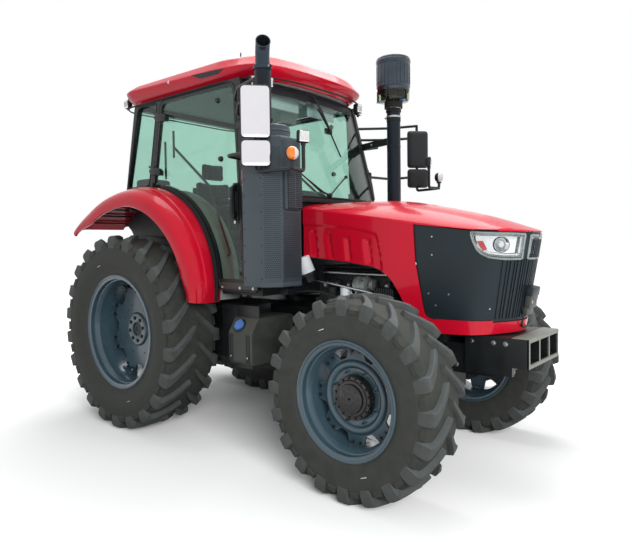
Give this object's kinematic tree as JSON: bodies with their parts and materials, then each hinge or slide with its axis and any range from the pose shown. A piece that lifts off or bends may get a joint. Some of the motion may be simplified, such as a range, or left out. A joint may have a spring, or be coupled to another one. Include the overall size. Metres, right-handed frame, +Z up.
{
  "type": "farm tractor",
  "caption": "Four-wheel-drive farm tractor with a glazed cab, a tilting hood, opening doors, steered front wheels and a rear three-point linkage.",
  "frame": {"origin": "on the ground, in the middle of the length and the width", "axes": "+X the way it drives, +Y its left, +Z up"},
  "size_m": [4.47, 2.374, 3.278],
  "materials": {
    "amber_lens": "clear lens",
    "black_paint": "satin",
    "cast_grey": "painted satin",
    "dash_plastic": "fine grain",
    "exhaust_black": "matte heat-proof",
    "grille_plastic": "satin",
    "headliner_grey": "matte",
    "lamp_lens": "clear lens",
    "mirror_black": "satin",
    "red_paint": "gloss",
    "seat_fabric": "woven",
    "smoked_plastic": "smoked",
    "steel": "machined",
    "tinted_glass": "clear, green tint",
    "tyre_rubber": "matte",
    "wheel_paint": "satin"
  },
  "bodies": {
    "chassis": {"front_frame": "black_paint", "weight_carrier": "black_paint", "engine_block": "cast_grey", "radiator": "black_paint", "gearbox_housing": "cast_grey", "rear_axle_housing": "cast_grey", "front_axle_beam": "cast_grey", "fuel_tank": "black_paint", "battery_box": "black_paint", "cab_steps": "black_paint", "cab_floor": "black_paint", "cab_frame": "black_paint", "front_bulkhead": "black_paint", "rear_bulkhead": "black_paint", "windscreen": "tinted_glass", "rear_window": "tinted_glass", "quarter_windows": "tinted_glass", "cab_roof": "red_paint", "headliner": "headliner_grey", "rear_fenders": "red_paint", "exhaust_shroud": "exhaust_black", "exhaust_pipe": "exhaust_black", "intake_stack": "exhaust_black", "precleaner": "smoked_plastic", "mirror_arms": "black_paint", "mirror_heads": "mirror_black", "work_lamps": "lamp_lens", "turn_lamps": "amber_lens", "seat_base": "dash_plastic", "seat_cushion": "seat_fabric", "seat_back": "seat_fabric", "dash_console": "dash_plastic", "steering_wheel": "dash_plastic", "drawbar": "black_paint", "pto_shaft": "steel", "top_link": "black_paint"},
    "hood": {"hood_shell": "red_paint", "hood_grille": "grille_plastic", "headlamps": "lamp_lens"},
    "door_body_right": {"door_right": "black_paint", "door_glass_right": "tinted_glass"},
    "steering_body_right": {"knuckle_right": "black_paint"},
    "front_wheel_right": {"front_tyre_right": "tyre_rubber", "front_rim_right": "wheel_paint", "front_hub_right": "black_paint"},
    "rear_wheel_right": {"rear_tyre_right": "tyre_rubber", "rear_rim_right": "wheel_paint"},
    "door_body_left": {"door_left": "black_paint", "door_glass_left": "tinted_glass"},
    "steering_body_left": {"knuckle_left": "black_paint"},
    "front_wheel_left": {"front_tyre_left": "tyre_rubber", "front_rim_left": "wheel_paint", "front_hub_left": "black_paint"},
    "rear_wheel_left": {"rear_tyre_left": "tyre_rubber", "rear_rim_left": "wheel_paint"},
    "lower_link_body": {"lower_links": "black_paint"},
    "lift_arm_body": {"lift_arms": "black_paint"},
    "lift_rod_body": {"lift_rods": "black_paint"}
  },
  "joints": [
    {"name": "hood_hinge", "type": "hinge", "parent": "chassis", "child": "hood", "pos_m": [0.545, 0, 1.883], "axis": [0, -1, 0], "range_deg": [0, 50]},
    {"name": "door_hinge_right", "type": "hinge", "parent": "chassis", "child": "door_body_right", "pos_m": [-0.943, -0.795, 2.523], "axis": [-0.1961, 0, -0.9806], "range_deg": [0, 70]},
    {"name": "door_hinge_left", "type": "hinge", "parent": "chassis", "child": "door_body_left", "pos_m": [-0.943, 0.795, 2.523], "axis": [0.1961, 0, 0.9806], "range_deg": [0, 70]},
    {"name": "steering_left", "type": "hinge", "parent": "chassis", "child": "steering_body_left", "pos_m": [1.355, 0.715, 0.659], "axis": [0, 0, 1], "range_deg": [-35, 35]},
    {"name": "steering_right", "type": "hinge", "parent": "chassis", "child": "steering_body_right", "pos_m": [1.355, -0.715, 0.659], "axis": [0, 0, 1], "range_deg": [-35, 35]},
    {"name": "front_wheel_spin_left", "type": "hinge", "parent": "steering_body_left", "child": "front_wheel_left", "pos_m": [1.355, 0.88, 0.659], "axis": [0, 1, 0], "continuous": true},
    {"name": "rear_wheel_spin_left", "type": "hinge", "parent": "chassis", "child": "rear_wheel_left", "pos_m": [-1.175, 0.871, 0.873], "axis": [0, 1, 0], "continuous": true},
    {"name": "front_wheel_spin_right", "type": "hinge", "parent": "steering_body_right", "child": "front_wheel_right", "pos_m": [1.355, -0.88, 0.659], "axis": [0, 1, 0], "continuous": true},
    {"name": "rear_wheel_spin_right", "type": "hinge", "parent": "chassis", "child": "rear_wheel_right", "pos_m": [-1.175, -0.871, 0.873], "axis": [0, 1, 0], "continuous": true},
    {"name": "lift_shaft", "type": "hinge", "parent": "chassis", "child": "lift_arm_body", "pos_m": [-1.425, 0, 1.033], "axis": [0, 1, 0], "range_deg": [-15, 25]},
    {"name": "lower_link_pivot", "type": "hinge", "parent": "chassis", "child": "lower_link_body", "pos_m": [-1.125, 0, 0.543], "axis": [0, 1, 0], "range_deg": [-15, 25]},
    {"name": "lift_rod_pivot", "type": "hinge", "parent": "lift_arm_body", "child": "lift_rod_body", "pos_m": [-1.785, 0, 1.033], "axis": [0, 1, 0], "range_deg": [-25, 15]}
  ],
  "couplings": [
    {"joint": "steering_right", "follows": "steering_left", "ratio": 1},
    {"joint": "lower_link_pivot", "follows": "lift_shaft", "ratio": 1},
    {"joint": "lift_rod_pivot", "follows": "lift_shaft", "ratio": -1}
  ]
}
